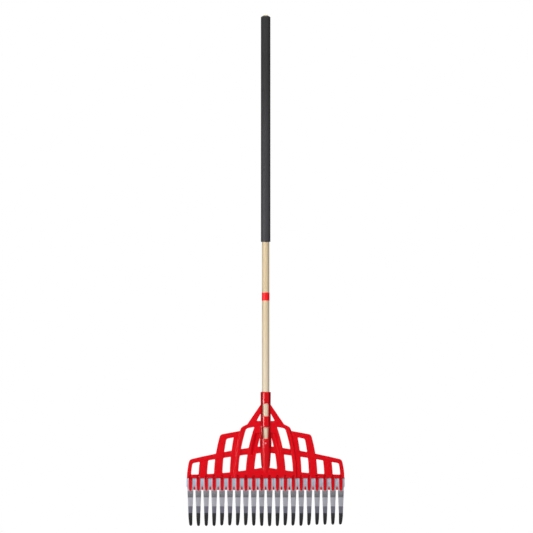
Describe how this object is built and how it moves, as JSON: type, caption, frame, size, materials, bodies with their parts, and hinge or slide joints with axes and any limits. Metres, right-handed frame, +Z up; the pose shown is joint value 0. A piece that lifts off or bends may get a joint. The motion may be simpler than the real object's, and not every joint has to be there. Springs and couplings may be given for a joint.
{
  "type": "lawn rake",
  "caption": "Lawn rake with a long wooden handle, foam grip, red moulded lattice head and a row of hooked spring-steel tines.",
  "frame": {"origin": "on the handle's axis, in the middle of the foam grip", "axes": "+Z up the handle from the head to its butt, X along the row of tines, -Y towards the upper side of the head that the user sees; the tines hook over to +Y"},
  "size_m": [0.4994, 0.0788, 1.6147],
  "materials": {
    "handle_wood": "clear-lacquered pale hardwood",
    "grip_foam": "fine-celled matt black foam",
    "band_film": "smooth red film",
    "red_plastic": "semi-gloss moulded plastic",
    "spring_steel": "zinc-grey spring strip, darker towards the hooks",
    "zinc_steel": "zinc plated"
  },
  "bodies": {
    "root": {"handle_shaft": "handle_wood", "foam_grip": "grip_foam", "handle_band": "band_film", "rake_head": "red_plastic", "tine_01": "spring_steel", "tine_02": "spring_steel", "tine_03": "spring_steel", "tine_04": "spring_steel", "tine_05": "spring_steel", "tine_06": "spring_steel", "tine_07": "spring_steel", "tine_08": "spring_steel", "tine_09": "spring_steel", "tine_10": "spring_steel", "tine_11": "spring_steel", "tine_12": "spring_steel", "tine_13": "spring_steel", "tine_14": "spring_steel", "tine_15": "spring_steel", "tine_16": "spring_steel", "tine_17": "spring_steel", "tine_18": "spring_steel", "tine_19": "spring_steel", "tine_20": "spring_steel", "rear_clamp_bar": "red_plastic", "clamp_screw_1": "zinc_steel", "clamp_screw_2": "zinc_steel", "clamp_screw_3": "zinc_steel", "clamp_screw_4": "zinc_steel", "clamp_screw_5": "zinc_steel", "handle_screw": "zinc_steel"}
  },
  "joints": []
}
